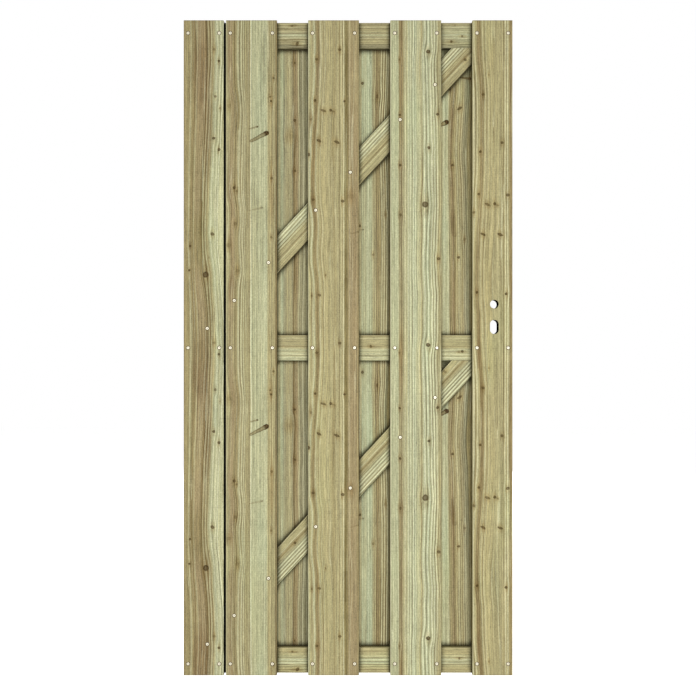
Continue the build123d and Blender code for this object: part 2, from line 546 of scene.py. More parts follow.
def makePine(name, piece, grainAngle, corner, length):
    # piece: sizes in millimetres, see the tables below
    material, tree, shader = newMaterial(name)
    # the piece's own frame: X across from its first edge, Y in from the front face, Z along
    turn = Euler((0.0, grainAngle - math.pi / 2, 0.0))
    start = turn.to_matrix() @ Vector(corner)
    leafPlace = addNode(tree, "TexCoord").outputs["Object"]
    mapping = addNode(tree, "Mapping", {"Vector": leafPlace, "Location": -start, "Rotation": turn})
    place = mapping.outputs[0]
    pithAcross, pithDepth = piece["pith"]
    rings = useGroup(tree, ringGroup, {
        "Vector": place, "Pith Across": pithAcross * mm, "Pith Depth": pithDepth * mm,
        "Wander": piece["wander"] * mm, "Seed": piece["seed"],
    })
    across = bendLines(tree, piece, rings["Across"], axes(tree, place)["Z"], length)
    state = {"Across": across, "Core": 0.0, "Halo": 0.0}
    common = {"Rough Vector": rings["Rough Vector"], "Spacing": piece["repeat"] * mm}
    for knot in piece["knots"]:
        side, up, radius = knot[:3]
        stretch, lean, depth = knot[3:] if len(knot) > 3 else (1.0, 0.0, 1.0)
        result = useGroup(tree, knotGroup, {
            "Place": (side * mm, 0.0, up * mm), "Radius": radius * mm, "Stretch": stretch,
            "Lean": lean, "Depth": depth, **common, **state,
        })
        state = {key: result[key] for key in state}
    for side, up, farSide, farUp, thickness, depth in piece.get("branches", []):
        result = useGroup(tree, branchGroup, {
            "Core": state["Core"], "Halo": state["Halo"], "Place": (side * mm, 0.0, up * mm),
            "Reach": ((farSide - side) * mm, 0.0, (farUp - up) * mm),
            "Thickness": thickness * mm, "Depth": depth, **common,
        })
        state.update({"Core": result["Core"], "Halo": result["Halo"]})

    share = calc(tree, "DIVIDE", state["Across"], piece["width"] * mm, clamp=True)
    tone = toneRamp(tree, piece, share)
    for side, up, halfWide, halfTall, spotTone, strength in piece.get("spots", []):
        tone = useGroup(tree, spotGroup, {
            "Color": tone, "Place": (side * mm, 0.0, up * mm), "Half Width": halfWide * mm,
            "Half Height": halfTall * mm, "Tone": linear(*tones[spotTone]), "Strength": strength,
            **common,
        })["Color"]
    spacing, lineDepth = piece["growth"]
    pine = useGroup(tree, pineGroup, {
        "Vector": place, "Tone": tone, "Body": linear(*tones[piece["body"]]),
        "Line Spacing": spacing * mm, "Line Depth": lineDepth, "Arris": piece["arris"],
        "Drawn Lines": drawnLines(tree, piece, share), "Length": length,
        "Thickness": wood["thickness"], "Seed": piece["seed"], **state,
    })
    # painted shade inside the narrow joint between the first two boards
    colour = useGroup(tree, jointGroup, {"Vector": leafPlace, "Color": pine["Color"], **joint})["Color"]
    holed = piece.get("holed")
    # painted shade on the walls of the lock's holes
    for hole in lockHoles if holed else []:
        colour = useGroup(tree, holeGroup, {
            "Vector": leafPlace, "Color": colour, "Radius": spindle["dims"]["r_mm"] * mm, **hole,
        })["Color"]
    # painted shade: the colour darkens by ambient occlusion where the timbers meet, standing in for the
    # shade in those corners
    corners = addNode(tree, "AmbientOcclusion", {"Distance": wood["paintedShadeReach"]}, samples=8)
    paintedShadeMask = remap(tree, corners.outputs["AO"], *wood["paintedShadeEdge"], wood["paintedShadeDepth"], 0.0)
    plug(tree, tint(tree, paintedShadeMask, colour, wood["paintedShadeTone"]), shader["Base Color"])
    plug(tree, pine["Roughness"], shader["Roughness"])
    bump = addNode(tree, "Bump", {"Height": pine["Height"], "Strength": 0.5, "Distance": 0.0006})
    plug(tree, bump.outputs["Normal"], shader["Normal"])
    # the walls of the lock's holes would mirror the pale studio, so their timber has no sheen
    shader["Specular IOR Level"].default_value = 0.0 if holed else wood["sheen"]
    return material


# The same run of timber shows up again 806 mm further along
repeatLength = 806.0

# tones: millimetres from the first edge and the tone there
# lines: millimetres from the first edge, half width, strength (negative for a pale line)
# bend: where the lines stay straight, where they bend fully, and the path down one repeat
# knots: across, up, radius, then for some how stretched, how leaning and how dark
# branches: start across and up, end across and up, half thickness, strength
# spots: middle across and up, half sizes, tone, strength
frontBoards = {
    "front_board_hinge": {
        "seed": 1.3, "body": "tan", "width": 110, "pith": (-30, 70), "wander": 3, "growth": (7, 0.35),
        "arris": 0.0,
        "tones": [
            (0, "olive"), (3, "brown"), (6, "tan"), (17, "tan"), (20, "oat"), (24, "tan"), (31, "brown"),
            (36, "tan"), (41, "rosy"), (57, "rosy"), (62, "brown"), (74, "tan"), (79, "tan"),
            (82, "straw"), (88, "sap"), (96, "sap"), (101, "cream"), (105, "sap"), (110, "cream")],
        "lines": [
            (12, 2, 0.15), (19.5, 1.6, -0.22), (26.5, 2, 0.3), (32, 1.8, 0.25), (38, 1.5, -0.2),
            (47, 2, 0.25), (54, 1.6, 0.15), (60.5, 1.6, 0.3), (64.5, 1.8, 0.8), (68.5, 1.5, -0.2),
            (72, 1.8, 0.8), (76, 1.5, -0.3), (80, 1.7, 0.4), (85, 1.6, 0.3), (91, 1.6, -0.35),
            (96, 1.5, 0.3), (101.5, 1.6, -0.4), (105, 1.3, 0.35), (108, 1.4, -0.7)],
        "bend": (-20, 55, [
            (0, 0), (0.12, 2), (0.22, -1), (0.37, -5), (0.48, -10.5), (0.61, -14), (0.75, -16),
            (0.85, -10), (0.95, -3), (1, 0)]),
        "knots": [
            (84, 1720, 4, 1, 0, 0.5), (97, 1688, 4), (87, 1591, 4, 1, 0, 0.8), (100, 1559, 3, 1, 0, 0.5),
            (83, 1476, 4.5), (97, 1445, 4.5), (79, 1213, 5, 1.2, 0.2, 0.9), (61, 1101, 9), (18, 1180, 3.5),
            (16, 1113, 3.5)],
        "branches": [(61, 1115, 70, 1148, 2.5, 0.3)],
        "spots": [
            (48, 1650, 26, 110, "russet", 0.65), (66, 1480, 12, 150, "russet", 0.5),
            (88, 1540, 10, 90, "mint", 0.5), (40, 1190, 30, 90, "olive", 0.5)],
    },
    "front_board_1": {
        "seed": 4.1, "body": "oat", "width": 140, "pith": (-60, 50), "wander": 4, "growth": (9, 0.35),
        "arris": 0.5,
        "tones": [
            (0, "sand"), (4, "oat"), (9, "rosy"), (17, "rosy"), (22, "tan"), (28, "tan"), (32, "oat"),
            (48, "oat"), (60, "oat"), (65, "oat"), (67, "sand"), (70, "sap"), (96, "sap"), (112, "sap"),
            (117, "straw"), (122, "straw"), (128, "oat"), (131, "straw"), (134, "oat"), (140, "brown")],
        "lines": [
            (4.5, 1.6, 0.3), (10, 2, 0.2), (17, 1.5, 0.15), (24.5, 1.5, 0.75), (29, 1.5, 0.25),
            (34.5, 1.8, -0.35), (39, 1.6, 0.55), (43, 1.6, -0.4), (46, 1.5, 0.5), (49, 1.5, -0.35),
            (52, 1.5, 0.4), (57, 1.6, 0.35), (61, 1.5, 0.25), (65, 1.6, 0.45), (69, 1.8, -0.6),
            (74.5, 1.6, 0.3), (85, 1.8, 0.12), (97, 1.8, 0.12), (107, 2, -0.15), (118.5, 1.6, 0.35),
            (125.5, 2, 0.35), (131, 1.5, 0.25), (137.5, 2.2, 0.55)],
        "bend": (75, 40, [
            (0, 0), (0.1, -1), (0.22, 1), (0.27, 5), (0.31, 7), (0.4, 4), (0.5, 2), (0.58, 1), (0.66, 7),
            (0.75, 3), (0.83, 6), (0.92, 1), (1, 0)]),
        "knots": [
            (9, 1566, 6, 1, 0, 0.25), (131, 1641, 3.5, 1, 0, 0.8), (122, 1590, 3, 1, 0, 0.8),
            (124, 1578, 3.5), (23, 1340, 4.5), (30, 1331, 3, 1, 0, 0.6), (126, 1366, 4, 1, 0, 0.7),
            (26, 1241, 5, 1, 0, 0.5), (8, 1182, 6, 1.2, 0, 0.35), (32, 1112, 5.5, 1, 0, 0.35),
            (125, 1204, 3.5, 1, 0, 0.6)],
        "branches": [
            (69, 1468, 112, 1490, 6.5, 1.2), (66, 1502, 87, 1508, 2.5, 0.9),
            (64, 1277, 100, 1285, 2.6, 0.5)],
        "spots": [
            (124, 1590, 6, 45, "amber", 0.9), (126, 1330, 7, 105, "amber", 0.9),
            (30, 1560, 16, 60, "brown", 0.4), (95, 1560, 18, 120, "mint", 0.4),
            (16, 1062, 12, 45, "russet", 0.5), (100, 1180, 18, 120, "mint", 0.4)],
    },
    "front_board_2": {
        "seed": 7.7, "body": "straw", "width": 140, "pith": (-40, 80), "wander": 3, "growth": (8, 0.3),
        "arris": 0.4,
        "tones": [
            (0, "sap"), (5, "sand"), (11, "oat"), (17, "sap"), (20, "tan"), (23, "brown"), (29, "brown"),
            (32, "oat"), (42, "straw"), (56, "straw"), (64, "oat"), (72, "tan"), (82, "oat"),
            (90, "straw"), (98, "straw"), (101, "olive"), (108, "olive"), (112, "rosy"), (133, "rosy"),
            (138, "tan"), (140, "brown")],
        "lines": [
            (9.5, 1.8, 0.4), (16, 1.5, -0.2), (21.5, 1.6, 0.2), (26.5, 2, 0.35), (33, 1.5, -0.25),
            (41, 1.6, 0.5), (44.5, 1.4, -0.25), (50, 1.6, 0.1), (60, 2, 0.1), (72, 2, 0.12),
            (86.5, 1.7, 0.5), (90.5, 1.5, -0.25), (94, 1.4, 0.3), (97.5, 1.5, -0.45), (104.5, 2.2, 0.3),
            (113.5, 1.6, -0.15), (120, 1.6, 0.15), (127, 1.6, 0.2), (134, 1.5, 0.2), (139.5, 1.8, 0.5)],
        "bend": (90, 35, [
            (0, 0), (0.13, 2), (0.27, -2), (0.37, -7), (0.5, -12), (0.61, -11), (0.7, -4), (0.8, -7),
            (0.9, 0), (1, 0)]),
        "knots": [
            (24, 1693, 4, 1.2, 0, 0.8), (87, 1719, 4, 1.3, 0, 0.8), (19, 1580, 4),
            (42, 1552, 3.5, 2.4, 0.3, 0.8), (62, 1553, 4), (68, 1550, 2.5, 3, 0.3, 0.5),
            (30, 1469, 4, 1.9, 0.4, 0.9), (79, 1465, 4, 2.2, 0.35, 0.9), (2, 1431, 5, 0.8, 0, 1),
            (8, 1528, 4, 1, 0, 0.5), (100, 1578, 3.5), (14, 1307, 4, 1.2, 0, 0.8),
            (95, 1303, 4.5, 1.2, 0, 0.9), (116, 1316, 7, 1.6, 0, 0.2), (48, 1100, 3, 0.8, 0, 0.6),
            (31, 1045, 4, 1.3, 0.2, 0.8), (10, 1043, 3, 1, 0, 0.6)],
        "branches": [(118, 1213, 139, 1219, 2.6, 0.45), (104, 1010, 104, 1088, 5, 0.3)],
        "spots": [
            (27, 1662, 5, 45, "russet", 0.5), (8, 1528, 5, 32, "russet", 0.5),
            (14, 1420, 7, 90, "amber", 0.4)],
    },
    "front_board_3": {
        "seed": 11.9, "body": "sap", "width": 140, "pith": (-60, 70), "wander": 2.5, "growth": (6, 0.35),
        "arris": 0.7,
        "tones": [
            (0, "sap"), (22, "sap"), (24, "tan"), (27, "brown"), (32, "brown"), (36, "oat"), (41, "sand"),
            (50, "sap"), (60, "sap"), (64, "mint"), (72, "sap"), (84, "sand"), (90, "sap"), (104, "mint"),
            (112, "cream"), (122, "sap"), (130, "sand"), (134, "straw"), (140, "oat")],
        "lines": [
            (5, 1.5, 0.25), (12, 1.8, 0.12), (25.5, 1.8, 0.25), (31, 1.8, 0.45), (36.5, 1.5, 0.25),
            (41, 1.6, -0.35), (44.5, 1.4, 0.35), (49.5, 1.4, -0.4), (52.3, 1.3, 0.45), (55.2, 1.3, -0.35),
            (60, 1.7, 0.45), (63.5, 1.5, -0.8), (66.3, 1.3, 0.35), (69, 1.4, -0.5), (72, 1.4, 0.3),
            (80, 1.8, -0.2), (86, 1.9, 0.7), (93, 1.7, -0.55), (98.5, 1.8, 0.6), (103, 1.7, -0.6),
            (107.5, 1.7, 0.5), (112.5, 1.6, -0.8), (115.8, 1.3, 0.75), (119.7, 1.5, -0.45),
            (123.8, 1.7, 0.85), (127, 1.5, -0.45), (132, 1.7, 0.55), (137.5, 1.8, 0.3)],
        "bend": (45, 85, [
            (0, 1), (0.08, 1), (0.14, -3), (0.25, -1), (0.38, 1), (0.5, 2), (0.62, 2.5), (0.73, 1),
            (0.83, -1.5), (0.9, 0.5), (0.94, 2.5), (0.98, 1.5), (1, 1)]),
        "knots": [
            (104, 1714, 6, 1.1, 0, 1), (26, 1540, 3.5), (130, 1542, 4.5), (106, 1450, 4.5), (27, 1402, 4),
            (96, 1294, 9.5, 1, 0, 0.95), (28, 1265, 5, 0.7, 0, 0.8), (133, 1145, 4.5, 1.2, 0, 0.9),
            (25, 1692, 3.5, 0.7, 0, 0.6), (104, 909, 5)],
        "branches": [(88, 1262, 101, 1276, 3, 0.35), (78, 1272, 90, 1282, 2.5, 0.3)],
        "spots": [(28, 1640, 6, 80, "brown", 0.4), (30, 1600, 4, 50, "russet", 0.35)],
    },
    "front_board_lock": {
        "holed": True, "seed": 15.2, "body": "straw", "width": 110, "pith": (-20, 60), "wander": 3,
        "growth": (8, 0.35), "arris": 0.5,
        "tones": [
            (0, "straw"), (5, "oat"), (10, "sand"), (17, "straw"), (21, "brown"), (26, "brown"),
            (30, "tan"), (34, "straw"), (44, "straw"), (58, "straw"), (66, "oat"), (76, "oat"),
            (84, "oat"), (90, "straw"), (97, "sand"), (99.5, "tan"), (103, "brown"), (110, "brown")],
        "lines": [
            (2.5, 1.6, -0.45), (7.5, 1.7, 0.5), (11.5, 1.7, -0.3), (16, 1.4, 0.2), (22, 1.5, 0.3),
            (27, 1.8, 0.45), (34, 1.5, -0.2), (39.5, 1.6, 0.5), (43, 1.5, -0.2), (49, 1.5, 0.15),
            (60, 1.8, 0.12), (66, 1.5, 0.12), (79, 1.5, 0.3), (85.5, 1.7, 0.45), (90.5, 1.6, -0.4),
            (93.7, 1.3, 0.35), (97, 1.6, -0.5), (104, 1.8, 0.2)],
        "bend": (80, 38, [
            (0, -8), (0.1, -7), (0.18, -3), (0.25, 0), (0.4, 1), (0.5, 1), (0.57, -1), (0.65, -4),
            (0.75, -9), (0.85, -12), (0.93, -12), (1, -8)]),
        "knots": [
            (29, 1596, 4, 1.2, 0, 0.8), (81, 1464, 4, 1.2, 0, 0.9), (21, 1439, 4),
            (17, 1322, 4, 1, 0, 0.9), (97, 1320, 4.5, 1.2, 0, 0.9), (41, 1294, 4, 2, 0.3, 0.8),
            (61, 1296, 4.5), (66, 1293, 2.5, 3, 0.3, 0.5), (29, 1212, 4, 1.9, 0.4, 0.9),
            (76, 1211, 4, 2.2, 0.3, 0.9), (4, 1272, 4, 1, 0, 0.7), (12, 1052, 4), (92, 1048, 4.5),
            (45, 1650, 3, 0.8, 0, 0.5)],
        "spots": [
            (16, 1690, 6, 60, "russet", 0.6), (102, 1600, 5, 45, "umber", 0.35),
            (60, 1560, 22, 140, "oat", 0.5)],
    },
}
rearBoards = {
    "rear_board_1": {
        "seed": 21.4, "body": "oat", "width": 140, "pith": (-45, 70), "wander": 5, "growth": (8, 0.45),
        "arris": 0.3,
        "tones": [
            (0, "oat"), (20, "straw"), (44, "oat"), (60, "rosy"), (64, "brown"), (69, "oat"),
            (96, "straw"), (120, "sap"), (140, "mint")],
        "lines": [
            (7, 1.6, 0.3), (18, 1.7, 0.4), (29, 1.6, -0.3), (41, 1.7, 0.45), (52, 1.6, 0.3),
            (64, 2.4, 0.5), (79, 1.6, 0.3), (92, 1.7, 0.4), (103, 1.6, -0.3), (112, 1.7, 0.35),
            (128, 1.6, 0.3)],
        "bend": (0, 60, [(0, 0), (0.3, 6), (0.6, -5), (1, 0)]),
        "knots": [(40, 1690, 4), (88, 1560, 6), (110, 1395, 4), (30, 1210, 5), (76, 1020, 4)],
        "spots": [(100, 1480, 20, 120, "mint", 0.5), (50, 1200, 24, 90, "rosy", 0.5)],
    },
    "rear_board_2": {
        "seed": 25.8, "body": "oat", "width": 140, "pith": (-50, 60), "wander": 2, "growth": (6, 0.25),
        "arris": 0.3,
        # painted shade: the slate at 27 mm and the grey and slate from 88 mm to 113 mm lie along the front
        # boards' edges
        "tones": [
            (0, "oat"), (27, "slate"), (31, "oat"), (38, "mint"), (46, "grey"), (54, "oat"), (64, "oat"),
            (67, "grey"), (70, "brown"), (74, "brown"), (79, "rosy"), (83, "oat"), (88, "grey"),
            (95, "grey"), (104, "slate"), (113, "grey"), (140, "oat")],
        "lines": [
            (33, 1.5, 0.3), (38, 1.5, 0.25), (43, 1.5, 0.2), (50, 1.5, 0.15), (56, 1.4, 0.2),
            (59, 1.4, -0.15), (62, 1.4, 0.25), (66, 1.4, 0.3), (70.5, 1.9, 0.6), (76, 1.5, 0.3),
            (81, 1.5, 0.35), (84, 1.3, -0.25), (87.5, 1.5, 0.4), (92, 1.6, 0.4), (96, 1.4, -0.25),
            (100, 1.5, 0.4), (104, 1.6, 0.45), (106.5, 1.3, -0.15), (109, 1.6, 0.45)],
        "bend": (60, 80, [(0, 0), (0.3, 1), (0.45, 3), (0.6, 2), (0.8, 4), (1, 0)]),
        "knots": [
            (74, 1695, 3.5, 0.7, 0, 0.9), (74, 1534, 4.5, 0.9, 0, 1), (75, 1394, 4, 0.8, 0, 0.9),
            (62, 1490, 7, 2, 0, 0.15)],
        "spots": [(78, 1600, 5, 130, "rosy", 0.5)],
    },
    "rear_board_3": {
        "seed": 29.3, "body": "oat", "width": 140, "pith": (-30, 60), "wander": 2, "growth": (6, 0.3),
        "arris": 0.3,
        # painted shade: the grey at 27 mm and the slate and olive towards 113 mm lie along the front
        # boards' edges
        "tones": [
            (0, "tan"), (27, "grey"), (32, "oat"), (36, "mint"), (44, "sap"), (51, "mint"), (62, "mint"),
            (68, "oat"), (74, "oat"), (78, "brown"), (86, "tan"), (92, "oat"), (100, "tan"),
            (108, "slate"), (113, "olive"), (140, "tan")],
        "lines": [
            (34, 1.5, 0.3), (40, 1.5, 0.3), (46, 1.4, 0.2), (53, 1.6, -0.3), (57, 1.4, 0.2),
            (64, 1.5, 0.3), (70, 1.5, 0.35), (76, 1.6, 0.6), (82, 1.5, 0.45), (87, 1.6, 0.6),
            (90.5, 1.4, -0.35), (94, 1.6, 0.65), (97.5, 1.4, -0.35), (101, 1.6, 0.7), (104, 1.3, -0.35),
            (107, 1.6, 0.7), (111, 1.5, 0.5)],
        "bend": (60, 90, [(0, 0), (0.2, -2), (0.35, -6), (0.5, -2), (0.7, 1), (1, 0)]),
        "knots": [
            (37, 1638, 4.5), (78, 1602, 6, 0.55, 0, 0.7), (30, 1240, 4.5, 0.8, 0, 1),
            (67, 1160, 4, 1, 0, 0.5), (101, 1271, 4, 1, 0, 0.3)],
        "branches": [(28, 1228, 39, 1230, 2.4, 0.6)],
        "spots": [(46, 1560, 12, 120, "mint", 0.5)],
    },
    "rear_board_4": {
        "seed": 33.6, "body": "oat", "width": 140, "pith": (-60, 50), "wander": 2, "growth": (7, 0.3),
        "arris": 0.3,
        # painted shade: the grey at 27 mm and the grey, slate and olive from 98 mm to 113 mm lie along the
        # front boards' edges
        "tones": [
            (0, "oat"), (27, "grey"), (31, "oat"), (35, "sap"), (49, "sap"), (54, "oat"), (58, "tan"),
            (64, "rosy"), (67, "brown"), (70, "tan"), (75, "straw"), (86, "oat"), (92, "tan"),
            (98, "grey"), (106, "slate"), (113, "olive"), (140, "tan")],
        "lines": [
            (33, 1.5, 0.3), (39, 1.4, -0.2), (44, 1.5, 0.25), (50, 1.4, -0.2), (55, 1.6, 0.6),
            (60, 1.5, 0.45), (66, 2, 0.6), (71, 1.5, 0.5), (77, 1.5, 0.45), (80, 1.4, -0.35),
            (83, 1.5, 0.45), (90, 1.5, 0.5), (93, 1.3, -0.25), (96, 1.5, 0.55), (102, 1.5, 0.55),
            (108, 1.6, 0.55)],
        "bend": (45, 55, [
            (0, 0), (0.2, 2), (0.33, -4), (0.45, -8), (0.52, -5), (0.65, -2), (0.8, 0), (1, 0)]),
        "knots": [
            (82, 1568, 4.5, 1.7, -0.5, 0.9), (54, 1620, 4, 1, 0, 0.6), (62, 1410, 4), (79, 1152, 4),
            (96, 1203, 4, 1, 0, 0.5), (111, 1651, 4.5)],
        "branches": [
            (26, 1519, 45, 1529, 7, 1.5), (80, 1654, 111, 1651, 3, 1.6), (66, 1262, 68, 1216, 7, 0.25)],
        "spots": [
            (42, 1560, 9, 70, "mint", 0.7), (64, 1610, 7, 60, "tan", 0.6), (62, 1250, 7, 45, "umber", 0.6),
            (40, 1200, 10, 120, "mint", 0.6)],
    },
}
battens = {
    "top_rail": {
        "seed": 41.0, "body": "oat", "width": 70, "pith": (-30, 30), "wander": 1.2, "growth": (6, 0.2),
        "arris": 0.2,
        "tones": [
            (0, "grey"), (4, "oat"), (14, "oat"), (24, "oat"), (34, "sap"), (44, "oat"), (54, "oat"),
            (62, "grey"), (70, "grey")],
        "lines": [
            (2, 1.5, 0.4), (8, 1.4, 0.4), (12, 1.4, -0.15), (16.5, 1.3, 0.6), (20.5, 1.3, 0.15),
            (24.5, 1.3, -0.2), (28, 1.4, 0.75), (33, 1.5, -0.3), (38.3, 1.3, 0.55), (41.5, 1.3, -0.3),
            (46.5, 1.4, 0.9), (53, 1.4, 0.35), (60, 1.4, 0.6), (66, 1.5, 0.5)],
        "bend": (0, 30, [(0, 0), (0.2, 1), (0.45, -1.5), (0.7, 1), (1, 0)]),
        "knots": [
            (9, 297, 3, 1, 0, 0.8), (8, 308, 2, 0.5, 0, 0.5), (58, 311, 5, 1.2, 0.2, 0.9), (52, 738, 4),
            (37, 768, 3.5, 1, 0, 0.8), (6, 748, 3, 0.5, 0, 0.6)],
        "branches": [(60, 316, 66, 332, 3, 0.25)],
        "spots": [
            (56, 326, 8, 12, "cream", 0.7), (32, 770, 30, 90, "sap", 0.6), (36, 520, 24, 90, "sand", 0.5)],
    },
    "middle_rail": {
        "seed": 44.5, "body": "straw", "width": 70, "pith": (-40, 30), "wander": 1.2, "growth": (7, 0.15),
        "arris": 0.2,
        "tones": [
            (0, "tan"), (6, "oat"), (12, "oat"), (30, "oat"), (35, "straw"), (42, "sap"), (52, "cream"),
            (60, "cream"), (70, "sap")],
        "lines": [
            (9, 1.8, -0.15), (14, 1.5, 0.15), (25, 1.5, 0.15), (32.5, 1.6, 0.3), (37, 1.4, -0.1),
            (42, 1.4, -0.15), (47, 1.5, 0.35), (53.5, 1.6, -0.25), (58, 1.5, 0.4), (63, 1.6, -0.3),
            (68, 1.4, 0.2)],
        "bend": (0, 30, [(0, 0), (0.2, -1.5), (0.45, 1), (0.7, -1), (1, 0)]),
        "knots": [
            (31, 515, 3, 1.6, 0, 0.8), (60, 578, 4.5, 1, 0, 1), (45, 768, 4), (47, 758, 2.5, 1, 0, 0.5)],
    },
    "bottom_rail": {
        "seed": 48.2, "body": "sand", "width": 70, "pith": (-25, 35), "wander": 1.2, "growth": (6, 0.2),
        "arris": 0.2,
        "tones": [
            (0, "straw"), (10, "straw"), (18, "sand"), (34, "sap"), (44, "sap"), (54, "sand"),
            (62, "straw"), (70, "oat")],
        "lines": [
            (2, 1.5, 0.2), (8, 1.4, 0.2), (12.5, 1.4, 0.5), (20, 1.3, 0.2), (29, 1.4, 0.65),
            (34, 1.5, -0.35), (39.5, 1.3, 0.45), (43, 1.4, -0.3), (48, 1.4, 0.9), (54, 1.4, 0.4),
            (62, 1.4, 0.55), (68, 1.5, 0.4)],
        "bend": (0, 30, [(0, 0), (0.2, -1), (0.45, 1.5), (0.7, 0), (1, 0)]),
        "knots": [
            (11, 297, 3, 1, 0, 0.8), (12, 308, 2, 0.5, 0, 0.5), (60, 312, 5, 1.2, 0.2, 0.9),
            (30, 760, 3.5, 1, 0, 0.8)],
        "spots": [(58, 328, 8, 12, "cream", 0.7)],
    },
    "upper_lock_stile": {
        "holed": True, "seed": 52.9, "body": "oat", "width": 70, "pith": (-20, 30), "wander": 2,
        "growth": (7, 0.45), "arris": 0.3,
        "tones": [(0, "oat"), (20, "straw"), (36, "rosy"), (50, "sand"), (70, "sap")],
        "lines": [
            (12, 1.7, 0.4), (20, 1.5, -0.25), (27, 1.6, 0.35), (38, 2, 0.5), (47, 1.5, -0.25),
            (56, 1.6, 0.4)],
        "bend": (0, 30, [(0, 0), (0.3, 4), (0.6, -3), (1, 0)]),
        "knots": [(22, 640, 4), (50, 260, 4)],
    },
    "lower_lock_stile": {
        "seed": 57.1, "body": "straw", "width": 70, "pith": (-30, 40), "wander": 2, "growth": (7, 0.45),
        "arris": 0.3,
        "tones": [(0, "straw"), (24, "oat"), (46, "sand"), (70, "straw")],
        "lines": [
            (9, 1.6, 0.35), (17, 1.5, -0.25), (24, 1.7, 0.45), (41, 1.6, 0.4), (51, 1.5, -0.25),
            (60, 1.6, 0.4)],
        "bend": (0, 30, [(0, 0), (0.4, -4), (0.7, 3), (1, 0)]),
        "knots": [(40, 520, 4), (18, 180, 3)],
    },
    "upper_brace": {
        "seed": 61.6, "body": "straw", "width": 70, "pith": (-40, 40), "wander": 1.2, "growth": (6, 0.2),
        "arris": 0.2,
        "tones": [
            (0, "sap"), (4, "cream"), (12, "cream"), (22, "sap"), (34, "sand"), (42, "oat"), (45, "tan"),
            (49, "tan"), (52, "sand"), (60, "oat"), (70, "oat")],
        "lines": [
            (3.5, 1.6, 0.6), (7.5, 1.6, -0.6), (11.5, 1.6, 0.8), (15.5, 1.6, -0.55), (19.5, 1.6, 0.75),
            (23.5, 1.6, -0.5), (27.5, 1.6, 0.7), (31, 1.5, -0.3), (35, 1.6, 0.5), (40, 1.5, 0.25),
            (47, 2.2, 0.35), (52, 1.6, -0.25), (59, 1.6, 0.15), (66, 1.6, 0.15)],
        "bend": (0, 30, [(0, 0), (0.4, -1), (0.7, 1), (1, 0)]),
        "knots": [(50, 1087, 4, 1.3, 0, 0.9)],
    },
    "lower_brace": {
        "seed": 66.3, "body": "straw", "width": 70, "pith": (110, 40), "wander": 1.2, "growth": (6, 0.2),
        "arris": 0.2,
        "tones": [
            (0, "oat"), (8, "sand"), (18, "oat"), (22, "tan"), (26, "tan"), (29, "oat"), (40, "sap"),
            (52, "sap"), (62, "cream"), (70, "sap")],
        "lines": [
            (4, 1.6, 0.15), (11, 1.6, 0.15), (17, 1.6, -0.25), (24, 2.2, 0.35), (32, 1.6, 0.25),
            (36, 1.6, 0.5), (40, 1.5, -0.3), (44, 1.6, 0.7), (48, 1.6, -0.5), (52, 1.6, 0.75),
            (56, 1.6, -0.55), (60, 1.6, 0.8), (64, 1.6, -0.6), (67.5, 1.5, 0.6)],
        "bend": (0, 30, [(0, 0), (0.4, 1), (0.7, -1), (1, 0)]),
        "knots": [(26, 420, 4), (50, 900, 3), (8, 1050, 3.5, 1.5, 0, 0.6)],
    },
}

upright = math.pi / 2
leafLow, leafHigh = cadBox
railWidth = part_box("top_rail")[1].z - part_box("top_rail")[0].z


def braceAngle(low, high):
    # the slope at which a brace of this width fills its bay from corner to corner
    across, rise = high.x - low.x, high.z - low.z
    return math.atan2(rise, across) + math.asin(railWidth / math.hypot(across, rise))


def grainOf(name, low, high):
    # the direction of the grain, the corner it starts from and how far it runs
    if name.endswith("rail"):
        return 0.0, (low.x, low.y, high.z), high.x - low.x
    if name.endswith("brace"):
        return braceAngle(low, high), low, 2 * math.hypot(high.x - low.x, high.z - low.z)
    return upright, low, high.z - low.z


def finishTimber(pieces, repeat):
    for name, piece in pieces.items():
        piece["repeat"] = repeat
        material = makePine(name.replace("_", " ") + " pine", piece, *grainOf(name, *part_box(name)))
        nodes[name].data.materials.clear()
        nodes[name].data.materials.append(material)


finishTimber(frontBoards, repeatLength)
finishTimber(rearBoards, repeatLength)
finishTimber(battens, 4 * repeatLength)  # longer than any batten, so nothing shows up twice
print("timber finished")


# Screws: a domed countersunk head with a six-pointed drive, in a dark rim that is partly crushed timber
# and partly the head's painted shadow

screw = {
    "sides": 28,
    "headRadius": 4.1 * mm,
    "headHeight": 1.6 * mm,
    "headRounding": 0.7 * mm,
    "roundingSteps": 3,
    "proud": 0.5 * mm,
    "rimRadius": 5.7 * mm,
    "rimDepth": 0.3 * mm,
    "rimProud": 0.08 * mm,
    "driveSides": 12,
    "driveRadius": 1.5 * mm,
    "driveDepth": 1.0 * mm,
    "driveNotch": 0.68,
    "inset": 12.2 * mm,
    "braceAcross": [65, 139, 233, 363, 458, 595, 691],
    "braceRise": {  # how far each one sits above the middle of its brace
        "lower_brace": [-3, -4, -3, -1, 3, -5, 1],
        "upper_brace": [0, -3, 0, 4, 6, 3, -4],
    },
    "bottomRowDrop": 3.5 * mm,
    "lookSeed": 3.0,
    "rimSeed": 5.0,
}


def clearSelection():
    bpy.ops.object.select_all(action="DESELECT")


def applyPlace():
    bpy.ops.object.transform_apply(location=True, rotation=True, scale=True)


def addDisc(sides, radius, depth, middle=0.0):
    # a short cylinder facing forwards
    clearSelection()
    bpy.ops.mesh.primitive_cylinder_add(
        vertices=sides, radius=radius, depth=depth, location=(0, middle, 0), rotation=(upright, 0, 0))
    disc = bpy.context.object
    applyPlace()
    return disc


